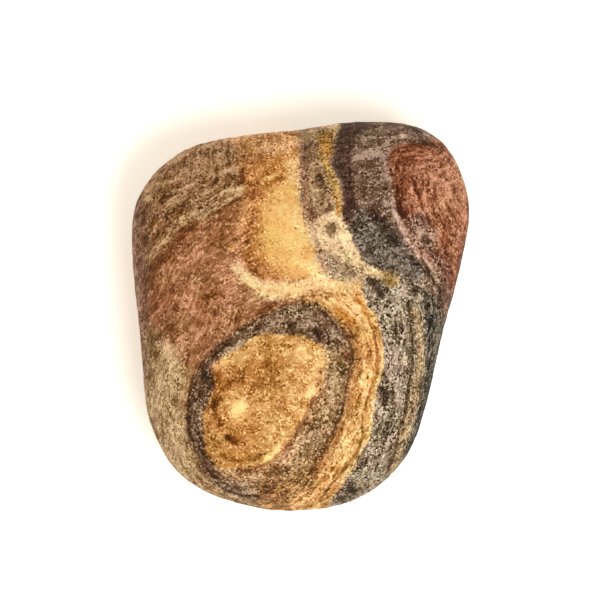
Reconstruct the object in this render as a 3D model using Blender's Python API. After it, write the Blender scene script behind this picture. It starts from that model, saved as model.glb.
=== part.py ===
"""A river pebble: one piece of folded, banded sandstone, tumbled smooth by the water.

It lies on its flattest side, with the face that shows the rings up. Metres, +Z up. The origin is on the
surface that it rests on, under the middle of its box; +Y runs along its length.
"""

from math import atan2, cos, exp, hypot, radians, tau

import bmesh
import bpy
from mathutils import Vector, noise

# Driving dimensions
LENGTH = 0.058  # along Y; the other sizes follow from it
CROWN = 0.290 * LENGTH  # rise of the ringed face above the widest level
BELLY = 0.262 * LENGTH  # depth of the underside below it, before its foot is worn flat
WORN_OFF = 0.011 * LENGTH  # what the river bed has taken off the foot

# The widest level seen from above: distance from the middle to the edge every 18 degrees, anticlockwise
# from +X, as shares of LENGTH. The corner between +X and +Y is a round lobe, and the +X side runs straight.
OUTLINE = (
    0.377, 0.431, 0.529, 0.576, 0.523, 0.477, 0.485, 0.519, 0.513, 0.450,
    0.414, 0.423, 0.472, 0.510, 0.506, 0.497, 0.491, 0.455, 0.398, 0.368,
)  # fmt: skip

# How square the section is from the middle to the edge: 2 is an ellipse, more is flatter with a fuller
# shoulder. Each face is slacker towards one side, where it has been ground down to a slope.
FACE_SQUARENESS = 2.45
FACE_SLOPE_SIDE = radians(150)
BELLY_SQUARENESS = 2.2
BELLY_SLOPE_SIDE = radians(300)
SQUARENESS_SWING = 0.30

# The widest level isn't level: it rises and falls once round the stone.
LEVEL_SWING = 0.014 * LENGTH
LEVEL_HIGH_SIDE = radians(20)

# Swellings and hollows of the two faces: place across the stone, reach and rise, as shares of LENGTH.
FACE_LUMPS = (
    ((0.30, 0.31), 0.20, 0.016),  # the lobe
    ((0.08, 0.44), 0.16, -0.020),  # the saddle beside it
    ((-0.10, -0.22), 0.22, 0.010),  # under the rings
    ((-0.32, 0.16), 0.18, -0.010),
    ((0.25, -0.10), 0.15, -0.008),
)
BELLY_LUMPS = (
    ((-0.24, -0.28), 0.17, 0.012),
    ((0.10, 0.05), 0.24, 0.014),
    ((-0.26, 0.12), 0.16, -0.014),
    ((0.02, 0.36), 0.16, 0.010),
)
UNEVENNESS = 0.007 * LENGTH  # of the slow waves left all over by the tumbling
WAVE_LENGTH = 0.30 * LENGTH

SPHERE_SUBDIVISIONS = 5  # 5120 triangles
STONE_COLOUR = (0.42, 0.27, 0.15, 1.0)
STONE_ROUGHNESS = 0.65


def clear_scene():
    for obj in list(bpy.data.objects):
        bpy.data.objects.remove(obj, do_unlink=True)


def outline_radius(angle):
    """Distance from the middle to the widest edge: a Catmull-Rom curve through OUTLINE."""
    count = len(OUTLINE)
    place = (angle % tau) / tau * count
    first = int(place)
    t = place - first
    before, start, end, after = (OUTLINE[(first + step) % count] for step in (-1, 0, 1, 2))
    slope_in = (end - before) / 2
    slope_out = (after - start) / 2
    share = (
        (2 * t**3 - 3 * t**2 + 1) * start
        + (t**3 - 2 * t**2 + t) * slope_in
        + (3 * t**2 - 2 * t**3) * end
        + (t**3 - t**2) * slope_out
    )
    return share * LENGTH


def lumps_height(lumps, x, y):
    """Summed rise of these lumps at a place across the stone."""
    rise = 0.0
    for (centre_x, centre_y), reach, height in lumps:
        away = hypot(x / LENGTH - centre_x, y / LENGTH - centre_y)
        rise += height * LENGTH * exp(-((away / reach) ** 2))
    return rise


def on_stone(direction):
    """The point of the stone's surface that a point of the unit sphere becomes, from the widest level."""
    angle = atan2(direction.y, direction.x)
    on_face = direction.z >= 0
    mean, slope_side = (
        (FACE_SQUARENESS, FACE_SLOPE_SIDE) if on_face else (BELLY_SQUARENESS, BELLY_SLOPE_SIDE)
    )
    square = mean - SQUARENESS_SWING * cos(angle - slope_side)
    across = hypot(direction.x, direction.y)
    up = abs(direction.z)
    stretch = (across**square + up**square) ** (-1 / square)
    across *= stretch
    up *= stretch

    radius = across * outline_radius(angle)
    x = radius * cos(angle)
    y = radius * cos(angle - tau / 4)
    height = CROWN if on_face else BELLY
    wave = UNEVENNESS * noise.noise(Vector((x, y, direction.z * height)) / WAVE_LENGTH)
    rise = height + wave + lumps_height(FACE_LUMPS if on_face else BELLY_LUMPS, x, y)
    level = LEVEL_SWING * across * cos(angle - LEVEL_HIGH_SIDE)
    return Vector((x, y, level + (rise if on_face else -rise) * up))


def sandstone():
    material = bpy.data.materials.new("banded_sandstone")
    material.use_nodes = True
    surface = material.node_tree.nodes["Principled BSDF"]
    surface.inputs["Base Color"].default_value = STONE_COLOUR
    surface.inputs["Roughness"].default_value = STONE_ROUGHNESS
    surface.inputs["Metallic"].default_value = 0.0
    return material


def make_pebble():
    """The stone, from an ico sphere pushed out to its surface, with its foot worn flat at Z = 0."""
    bm = bmesh.new()
    bmesh.ops.create_icosphere(bm, subdivisions=SPHERE_SUBDIVISIONS, radius=1.0)
    for vert in bm.verts:
        vert.co = on_stone(vert.co.normalized())
    foot = min(vert.co.z for vert in bm.verts) + WORN_OFF
    for vert in bm.verts:
        vert.co.z = max(vert.co.z - foot, 0.0)
    middle = [
        (min(vert.co[axis] for vert in bm.verts) + max(vert.co[axis] for vert in bm.verts)) / 2
        for axis in (0, 1)
    ]
    bmesh.ops.translate(bm, verts=bm.verts, vec=(-middle[0], -middle[1], 0.0))
    bmesh.ops.recalc_face_normals(bm, faces=bm.faces)
    mesh = bpy.data.meshes.new("pebble")
    bm.to_mesh(mesh)
    bm.free()
    mesh.shade_smooth()
    mesh.materials.append(sandstone())
    return bpy.data.objects.new("pebble", mesh)


def main():
    clear_scene()
    collection = bpy.data.collections.new("river_pebble")
    bpy.context.scene.collection.children.link(collection)
    collection.objects.link(make_pebble())


main()
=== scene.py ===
import bpy
import numpy as np
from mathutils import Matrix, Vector, noise


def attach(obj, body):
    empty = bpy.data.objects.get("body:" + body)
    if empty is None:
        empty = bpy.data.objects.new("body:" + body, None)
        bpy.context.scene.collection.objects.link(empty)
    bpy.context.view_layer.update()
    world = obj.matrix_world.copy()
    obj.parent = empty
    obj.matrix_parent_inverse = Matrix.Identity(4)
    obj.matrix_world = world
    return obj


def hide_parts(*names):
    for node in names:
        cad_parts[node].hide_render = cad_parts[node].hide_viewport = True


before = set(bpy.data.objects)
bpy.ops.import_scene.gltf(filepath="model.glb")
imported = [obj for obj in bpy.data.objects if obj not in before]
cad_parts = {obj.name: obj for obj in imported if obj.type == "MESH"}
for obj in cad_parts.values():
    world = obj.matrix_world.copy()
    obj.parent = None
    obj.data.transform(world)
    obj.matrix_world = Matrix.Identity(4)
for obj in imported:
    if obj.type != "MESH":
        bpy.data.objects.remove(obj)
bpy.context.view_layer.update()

# The pebble. A single piece of fine sandstone whose thin beds were folded into a dome, then cut through and
# worn smooth by the river, so that the beds show as rings, bands and tongues on its face.
# It is one piece, held together by the quartz and iron oxide between its sand grains.

MM = 0.001

stone = bpy.data.objects.new("tumbled_sandstone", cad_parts["pebble"].data.copy())
bpy.context.scene.collection.objects.link(stone)
bpy.ops.object.select_all(action="DESELECT")
stone.select_set(True)
bpy.context.view_layer.objects.active = stone
stone.data.materials.clear()
bpy.ops.object.mode_set(mode="EDIT")
bpy.ops.mesh.select_all(action="SELECT")
bpy.ops.mesh.remove_doubles(threshold=0.001 * MM)
bpy.ops.mesh.normals_make_consistent(inside=False)
bpy.ops.object.mode_set(mode="OBJECT")

rounding = stone.modifiers.new("rounding", "SUBSURF")
rounding.levels = 2
rounding.render_levels = 2
bpy.ops.object.modifier_apply(modifier=rounding.name)
bpy.ops.object.shade_smooth()

# The beds, seen from above in millimetres. Each outline is where a bed meets the worn face; the points
# beyond the stone's edge only close it.
# fmt: off
EYE = (
    (-12.9, -7.4), (-11.1, -5.9), (-8.8, -4.6), (-7.4, -3.3), (-5.0, -2.7), (-2.3, -2.8), (0.5, -3.1),
    (2.8, -4.2), (4.1, -5.7), (3.9, -8.5), (3.2, -10.6), (2.2, -12.2), (1.1, -14.1), (-0.4, -16.8),
    (-2.3, -19.8), (-5.0, -22.0), (-8.8, -22.6), (-11.5, -22.6), (-13.5, -21.0), (-14.2, -18.1),
    (-14.2, -14.7), (-13.0, -11.3), (-12.7, -9.4),
)
RING = (
    (2.6, 1.9), (4.7, 0.1), (6.5, -1.8), (7.8, -3.9), (8.0, -6.2), (7.4, -9.8), (6.6, -13.8),
    (5.0, -18.0), (2.9, -22.3), (0.5, -25.3), (-2.9, -27.4), (-7.4, -27.8), (-11.1, -26.3),
    (-14.1, -23.9), (-16.0, -20.2), (-16.9, -16.2), (-16.6, -11.7), (-15.4, -8.0), (-13.3, -5.2),
    (-10.3, -2.8), (-7.1, -0.7), (-3.9, 0.9), (-1.1, 1.9),
)
OLIVE_RING = (
    (3.9, -5.4), (6.8, -5.1), (8.1, -6.2), (7.4, -9.8), (6.6, -13.8), (5.0, -18.0), (2.9, -22.3),
    (0.5, -25.3), (-2.2, -25.6), (-5.6, -26.2), (-8.8, -24.1), (-5.6, -22.3), (-2.6, -20.2),
    (-0.5, -17.3), (1.1, -14.3), (2.9, -11.3), (3.9, -8.3),
)
INNER_RIM = (
    (3.8, -9.2), (2.8, -11.2), (1.0, -14.1), (-0.7, -17.1), (-2.8, -19.9), (-5.1, -21.9), (-8.8, -22.6),
    (-11.5, -22.6), (-12.4, -22.6), (-11.5, -23.9), (-9.4, -24.5), (-6.8, -24.2), (-4.1, -23.3),
    (-1.7, -21.9), (0.1, -19.8), (1.4, -17.0), (2.9, -14.1), (4.1, -11.6),
)
BROWN_FOOT = (
    (-5.6, -23.8), (-3.5, -24.4), (-1.4, -23.9), (0.4, -22.9), (2.0, -21.4), (3.6, -19.5), (4.5, -18.4),
    (5.1, -19.3), (3.6, -22.0), (1.3, -25.0), (-1.1, -27.4), (-2.3, -31.1), (-4.7, -31.1), (-5.9, -27.4),
)
GOLD_BAND = (
    (10.0, 5.5), (10.3, 2.4), (11.4, 0.0), (12.0, -2.5), (12.4, -5.8), (12.0, -9.1), (11.2, -12.0),
    (10.6, -16.1), (9.9, -18.7), (8.1, -22.0), (6.2, -25.3), (4.2, -28.1), (1.0, -33.0), (-4.4, -33.0),
    (-6.5, -27.4), (-9.4, -19.9), (-9.4, -11.0), (-6.5, -4.3), (-2.3, -0.3), (0.1, 1.2), (0.5, 2.7),
    (2.8, 3.6), (5.4, 5.4),
)
LENS_EDGE = (
    (-8.6, 23.2), (-5.6, 23.8), (-3.5, 23.2), (-2.9, 20.2), (-3.5, 12.8), (-2.9, 6.8), (-2.9, 5.4),
    (-5.6, 5.5), (-7.1, 6.8), (-8.3, 8.6), (-8.8, 12.0), (-8.7, 15.5), (-8.0, 18.4), (-8.7, 20.2),
)
GOLD_LENS = (
    (-5.6, 23.5), (-2.2, 24.5), (-0.1, 25.1), (-0.1, 21.7), (-0.1, 18.7), (0.5, 15.5), (1.4, 11.6),
    (2.6, 8.8), (3.5, 6.5), (0.1, 5.5), (-2.3, 5.5), (-4.4, 6.5), (-5.9, 8.6), (-6.5, 12.0),
    (-6.2, 15.5), (-5.6, 18.4), (-5.6, 20.8),
)
BRIGHT_LENS = (
    (-3.0, 19.5), (-0.4, 19.0), (0.2, 15.5), (1.1, 11.6), (2.3, 8.8), (3.0, 6.8), (0.1, 5.9),
    (-3.5, 6.8), (-5.0, 8.5), (-5.6, 12.0), (-5.3, 16.1),
)
CREAM_SEAM = (
    (-9.1, 7.7), (-7.4, 6.5), (-5.6, 5.2), (-3.0, 4.9), (-0.2, 5.4), (2.8, 6.8), (5.3, 5.9), (8.6, 5.2),
    (7.5, 4.2), (5.4, 3.7), (2.3, 3.3), (-1.4, 2.7), (-5.0, 2.8), (-7.4, 4.0), (-8.8, 5.7), (-9.6, 6.8),
)
PALE_TONGUE = (
    (-0.2, 33.0), (-0.1, 24.7), (-0.1, 18.7), (0.5, 15.5), (1.4, 11.6), (2.6, 8.8), (3.8, 6.4),
    (6.0, 5.4), (8.6, 5.2), (9.9, 5.5), (12.0, 5.2), (13.5, 4.3), (14.6, 5.2), (13.9, 6.2), (12.1, 6.8),
    (9.9, 7.7), (8.8, 9.8), (7.5, 12.3), (6.5, 14.9), (6.3, 18.0), (5.6, 20.2), (4.8, 22.5), (5.1, 24.4),
    (5.3, 26.5), (6.5, 28.7), (8.6, 33.0),
)
GREY_WEDGE = (
    (-0.2, 33.0), (-0.1, 24.7), (-0.1, 18.7), (0.5, 15.5), (1.3, 14.0), (3.0, 14.9), (4.8, 15.5),
    (5.9, 16.4), (5.6, 18.1), (4.8, 20.2), (3.9, 22.5), (3.0, 24.4), (2.9, 26.2), (3.2, 33.0),
)
GREY_PATCH = (
    (2.2, 8.6), (3.6, 9.4), (5.7, 8.9), (7.5, 7.7), (8.7, 6.8), (10.0, 6.1), (9.9, 5.2), (8.6, 5.2),
    (7.2, 5.4), (5.4, 5.7), (3.6, 6.5),
)
GREY_KNOT = (
    (4.1, 13.5), (4.7, 14.0), (5.3, 13.7), (5.4, 12.6), (5.0, 11.7), (4.2, 11.7), (3.9, 12.6),
)
OCHRE_SEAM = (
    (3.0, 27.5), (5.1, 27.7), (5.3, 25.6), (5.1, 24.1), (4.7, 22.6), (5.6, 20.5), (6.2, 18.7),
    (6.5, 16.5), (6.6, 14.3), (5.9, 15.2), (5.0, 17.3), (4.4, 19.3), (3.9, 21.1), (3.2, 22.9),
    (2.6, 24.4), (2.5, 26.0),
)
OCHRE_TIP = (
    (11.8, 6.5), (13.2, 6.7), (14.4, 6.1), (14.8, 5.2), (13.8, 4.2), (12.6, 4.8),
)
GREY_FLANK = (
    (7.4, 32.0), (6.5, 28.7), (5.3, 26.5), (5.1, 24.4), (4.8, 22.5), (5.6, 20.2), (6.3, 18.0),
    (6.5, 14.9), (7.5, 12.3), (8.8, 9.8), (9.9, 7.7), (12.1, 6.8), (13.9, 6.2), (14.6, 5.2), (13.5, 4.3),
    (12.0, 5.4), (10.5, 5.8), (9.6, 5.7), (9.1, 4.3), (9.9, 1.9), (11.4, 0.0), (12.0, -2.5),
    (12.4, -5.8), (12.0, -9.1), (11.2, -12.0), (10.6, -16.1), (9.9, -18.7), (8.1, -22.0), (6.2, -25.3),
    (4.2, -28.1), (3.0, -36.0), (35.9, -36.0), (35.9, 34.1),
)
FLANK_RIM = (
    (18.5, 3.9), (18.1, 0.9), (18.5, -2.1), (18.8, -5.1), (18.7, -8.3), (18.1, -11.0), (17.3, -13.7),
    (16.4, -16.1), (15.2, -19.0), (14.1, -21.7), (12.6, -24.4), (16.4, -30.3), (29.8, -15.5),
    (29.8, 5.4), (21.8, 4.5),
)
DARK_BED = (
    (8.0, 33.0), (6.5, 28.7), (5.3, 26.5), (5.1, 24.4), (4.8, 22.5), (5.6, 20.2), (6.3, 18.0),
    (6.5, 14.9), (7.5, 12.3), (8.8, 9.8), (9.9, 7.7), (12.1, 6.8), (14.6, 6.2), (16.7, 5.5), (18.5, 4.2),
    (20.3, 2.4), (21.8, -0.3), (22.7, -3.0), (32.8, -2.1), (30.0, 33.0),
)
CHARCOAL_SEAM = (
    (6.0, 33.0), (5.9, 28.7), (5.3, 26.5), (5.1, 24.4), (4.8, 22.5), (5.6, 20.2), (6.3, 18.0),
    (6.5, 14.9), (7.2, 13.2), (7.8, 13.7), (8.0, 16.5), (7.8, 20.2), (7.5, 23.2), (8.0, 26.0),
    (10.0, 28.0), (14.1, 33.0),
)
SLATE_BED = (
    (6.5, 15.2), (7.5, 12.3), (8.8, 9.8), (9.9, 7.7), (12.1, 6.8), (14.6, 6.2), (16.4, 5.4), (18.5, 5.7),
    (17.6, 8.0), (15.8, 9.8), (14.6, 11.9), (13.2, 13.7), (11.1, 15.2), (8.7, 15.8),
)
RUST_LOBE = (
    (24.0, 30.0), (19.4, 25.9), (16.1, 25.6), (13.5, 24.7), (13.2, 22.5), (13.8, 19.2), (14.1, 16.2),
    (15.2, 13.1), (17.0, 10.3), (19.1, 7.6), (20.6, 6.2), (21.6, 4.5), (22.5, 2.4), (23.6, 0.6),
    (34.0, 0.0), (34.0, 30.0),
)
PINK_LOBE = (
    (14.1, 17.3), (15.2, 13.1), (17.0, 10.3), (19.1, 7.6), (20.9, 4.6), (21.5, 1.8), (22.2, -0.9),
    (24.2, -2.1), (23.3, 1.8), (22.2, 4.5), (21.6, 8.0), (20.4, 10.1), (19.7, 12.8), (17.9, 15.2),
    (15.8, 14.6),
)
# The taupe bed of the upper left: partly its own greyer colour, partly painted shade where that side slopes
# away from the light.
TAUPE_AND_SHADE_BED = (
    (-30.0, 0.0), (-24.0, 2.4), (-22.7, 5.4), (-21.3, 8.6), (-19.3, 10.9), (-17.3, 12.9), (-14.8, 14.0),
    (-12.4, 15.2), (-10.3, 16.7), (-8.1, 18.4), (-8.4, 23.2), (-8.0, 27.7), (-8.0, 34.1), (-36.1, 34.1),
    (-36.1, 5.9),
)
TAN_BROW = (
    (-8.8, 24.4), (-5.6, 23.6), (-2.2, 24.4), (-0.1, 24.8), (-0.1, 33.0), (-14.1, 33.0), (-11.1, 27.7),
)
OLIVE_BED = (
    (-34.0, 0.0), (-24.0, -1.0), (-21.0, -3.0), (-18.1, -5.1), (-16.6, -8.9), (-17.0, -12.9),
    (-14.1, -19.9), (-8.0, -25.0), (2.0, -27.1), (3.9, -36.0), (-34.0, -36.0),
)
# The left rim: partly the stone's own brown, partly painted shade where the rim turns away from the light.
SHADED_BROWN_RIM = (
    (-25.5, 19.9), (-23.6, 17.8), (-22.5, 15.2), (-22.4, 10.6), (-22.2, 5.1), (-22.5, 0.0),
    (-23.1, -5.1), (-23.3, -10.0), (-32.0, -10.0), (-32.0, 19.9),
)

# Thin seams and cracks: the line that each follows.
BAND_EDGE = (
    (11.7, -2.7), (12.1, -5.8), (11.7, -8.9), (10.9, -11.9), (10.3, -15.9), (9.6, -18.6), (7.8, -21.9),
    (5.9, -25.0),
)
ROSY_LINE = (
    (0.4, 23.5), (0.7, 19.0), (1.3, 15.5), (2.2, 12.0), (2.9, 9.4), (3.8, 6.8),
)
PALE_VEIN = (
    (12.3, 23.5), (12.9, 21.0), (13.5, 18.4), (14.1, 15.8), (15.1, 12.9), (16.4, 10.6), (17.9, 8.8),
    (19.3, 7.0), (20.4, 5.1),
)
CRACK = (
    (18.1, 8.5), (18.7, 7.3), (19.4, 5.9), (20.3, 4.8), (20.9, 3.6), (20.9, 2.4),
)
OCHRE_STREAK = (
    (17.0, 0.7), (17.5, -0.9), (17.8, -3.6), (17.8, -6.8), (17.5, -9.2),
)
TAN_STREAK = (
    (17.5, -9.5), (16.9, -12.2), (16.3, -14.9), (15.5, -17.8), (14.6, -20.5), (13.6, -22.9),
)
GROOVE = (
    (16.0, 1.9), (16.4, 0.3), (16.7, -2.1), (16.9, -5.1), (16.6, -8.3), (16.1, -11.3), (15.7, -14.3),
    (14.8, -17.3), (14.2, -19.9), (13.2, -23.2),
)
EYE_CREASE = (
    (2.0, -12.0), (1.3, -13.8), (0.1, -15.9), (-0.8, -17.7), (-2.2, -19.6), (-5.0, -22.0), (-7.7, -22.9),
    (-9.1, -23.6),
)
BAND_MARGIN = (
    (6.9, -0.9), (8.0, -2.8), (8.6, -4.8), (8.4, -7.4), (7.8, -10.4), (7.4, -13.1), (6.5, -15.8),
    (5.1, -18.4), (3.8, -21.0), (2.3, -23.2),
)
BAND_CREASE = (
    (6.0, -1.6), (6.9, -3.3), (7.7, -5.1), (7.5, -7.7), (6.9, -10.4), (6.5, -12.9), (5.7, -15.3),
    (4.8, -17.4),
)
BAND_LINE = (
    (9.0, 1.8), (9.9, 0.0), (10.8, -2.2), (11.2, -4.5), (11.4, -7.1), (10.9, -9.8), (10.2, -11.9),
    (9.6, -13.7),
)
LOWER_LINE = (
    (9.1, -16.1), (9.3, -17.5), (8.7, -19.5), (7.5, -21.4), (5.9, -23.5), (4.2, -25.4), (3.0, -27.4),
)
# fmt: on

BEDS = (
    # bed, its outline, how much it narrows for each mm of depth, how soft and how ragged its edge is in
    # millimetres, how peppered and how layered it is, its darkest, middle and lightest tones
    ("olive_bed", OLIVE_BED, 0.0, 1.6, 2.0, 1.3, 0.9, "#8c6536 #bc9b6f #e3c398"),
    # the taupe bed's tones are partly painted shade
    ("taupe_bed", TAUPE_AND_SHADE_BED, 0.0, 0.5, 1.5, 1.15, 1.0, "#6b421d #9e7248 #d0a87f"),
    # the left rim's darker tones are partly painted shade
    ("left_rim", SHADED_BROWN_RIM, 0.0, 1.0, 2.0, 0.9, 1.0, "#5f391e #825a3f #b48c70"),
    ("tan_brow", TAN_BROW, 0.0, 0.9, 2.0, 1.4, 1.0, "#a26225 #d1975e #fac994"),
    ("gold_band", GOLD_BAND, 0.1, 0.2, 1.0, 0.95, 1.0, "#9a6323 #dda664 #ffd494"),
    ("cream_seam", CREAM_SEAM, 0.0, 0.75, 2.4, 0.9, 0.2, "#dea062 #ffd89a #fff2b4"),
    ("lens_edge", LENS_EDGE, 0.15, 1.2, 1.6, 1.0, 0.5, "#8a4e1c #cb8a4c #fcc080"),
    ("gold_lens", GOLD_LENS, 0.15, 0.35, 1.0, 0.95, 0.15, "#94520f #d08c44 #ffd494"),
    ("bright_lens", BRIGHT_LENS, 0.15, 1.5, 2.0, 0.8, 0.1, "#e7a75d #ffc979 #ffe39a"),
    ("pale_tongue", PALE_TONGUE, 0.0, 0.2, 0.8, 0.9, 0.2, "#997549 #ecc899 #ffe8b6"),
    ("grey_wedge", GREY_WEDGE, 0.0, 0.4, 1.2, 1.1, 0.5, "#674523 #a07d5a #dab68e"),
    ("grey_patch", GREY_PATCH, 0.0, 0.8, 2.0, 1.2, 0.2, "#70573c #ab8e6f #e2c4a0"),
    ("grey_knot", GREY_KNOT, 0.0, 0.25, 0.8, 0.7, 0.2, "#55381a #80663e #ab9468"),
    ("ochre_seam", OCHRE_SEAM, 0.0, 0.25, 1.0, 1.6, 0.3, "#5d3c15 #9c743c #dab06c"),
    ("grey_flank", GREY_FLANK, 0.0, 0.2, 0.8, 1.35, 0.7, "#45331c #907c63 #d2c0a8"),
    ("flank_rim", FLANK_RIM, 0.0, 0.5, 1.5, 1.5, 0.9, "#1a130c #3a3026 #908572"),
    ("dark_bed", DARK_BED, 0.0, 0.45, 2.0, 1.2, 0.5, "#50331d #705340 #b49b85"),
    ("slate_bed", SLATE_BED, 0.0, 0.5, 2.0, 1.05, 0.4, "#352416 #5b4f41 #9b8e7e"),
    ("charcoal_seam", CHARCOAL_SEAM, 0.0, 0.45, 1.2, 0.85, 0.5, "#361e12 #4e3427 #846858"),
    ("rust_lobe", RUST_LOBE, 0.1, 0.5, 1.5, 1.0, 1.0, "#6a3518 #9e6342 #d29a78"),
    ("pink_lobe", PINK_LOBE, 0.0, 1.2, 2.0, 1.3, 0.8, "#542f1f #835f4d #c4a28b"),
    ("ochre_tip", OCHRE_TIP, 0.0, 0.4, 1.2, 1.0, 0.2, "#745426 #a88852 #d4b484"),
    ("ring", RING, 0.25, 0.6, 1.6, 1.2, 0.5, "#4c2e14 #7b5d41 #c2a88c"),
    ("olive_ring", OLIVE_RING, 0.25, 1.6, 2.0, 1.38, 0.4, "#5f3f1a #9c7a52 #d6b48a"),
    ("brown_foot", BROWN_FOOT, 0.25, 1.8, 2.4, 1.2, 1.1, "#5c3a18 #96683a #cfa066"),
    ("inner_rim", INNER_RIM, 0.25, 0.5, 1.4, 1.2, 0.6, "#6e441a #b48859 #eac49a"),
    ("eye", EYE, 0.45, 0.25, 1.1, 0.8, 0.2, "#824a0f #cb8e4a #ffd490"),
)
SEAMS = (
    # seam, its line, its half width, how soft and how ragged its edge is, its three tones
    ("band_edge", BAND_EDGE, 0.28, 0.15, 0.4, "#a67d40 #dcb474 #f4dca0"),
    ("rosy_line", ROSY_LINE, 0.3, 0.35, 1.4, "#7c4c35 #b88663 #e2b893"),
    ("pale_vein", PALE_VEIN, 0.27, 0.22, 0.8, "#86624f #b08a73 #d7b8a1"),
    ("ochre_streak", OCHRE_STREAK, 0.42, 0.25, 0.8, "#6e5534 #b09066 #dcc096"),
    ("tan_streak", TAN_STREAK, 0.75, 0.4, 0.9, "#53422b #a98d65 #d3b892"),
    ("groove", GROOVE, 0.24, 0.14, 0.25, "#35260f #553f24 #836a48"),
    ("crack", CRACK, 0.21, 0.14, 0.25, "#2a1e16 #3a2c22 #66523f"),
    ("eye_crease", EYE_CREASE, 0.26, 0.22, 0.4, "#7a4a29 #985f38 #bd8352"),
    ("band_margin", BAND_MARGIN, 0.4, 0.4, 1.0, "#7e4c1d #b0753f #d59b5e"),
    ("band_crease", BAND_CREASE, 0.2, 0.14, 0.4, "#482a15 #6e4525 #966238"),
    ("band_line", BAND_LINE, 0.22, 0.16, 0.5, "#875419 #a36c2c #c4893f"),
    ("lower_line", LOWER_LINE, 0.25, 0.18, 0.5, "#6a4318 #8a5f2a #b08040"),
)

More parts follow.
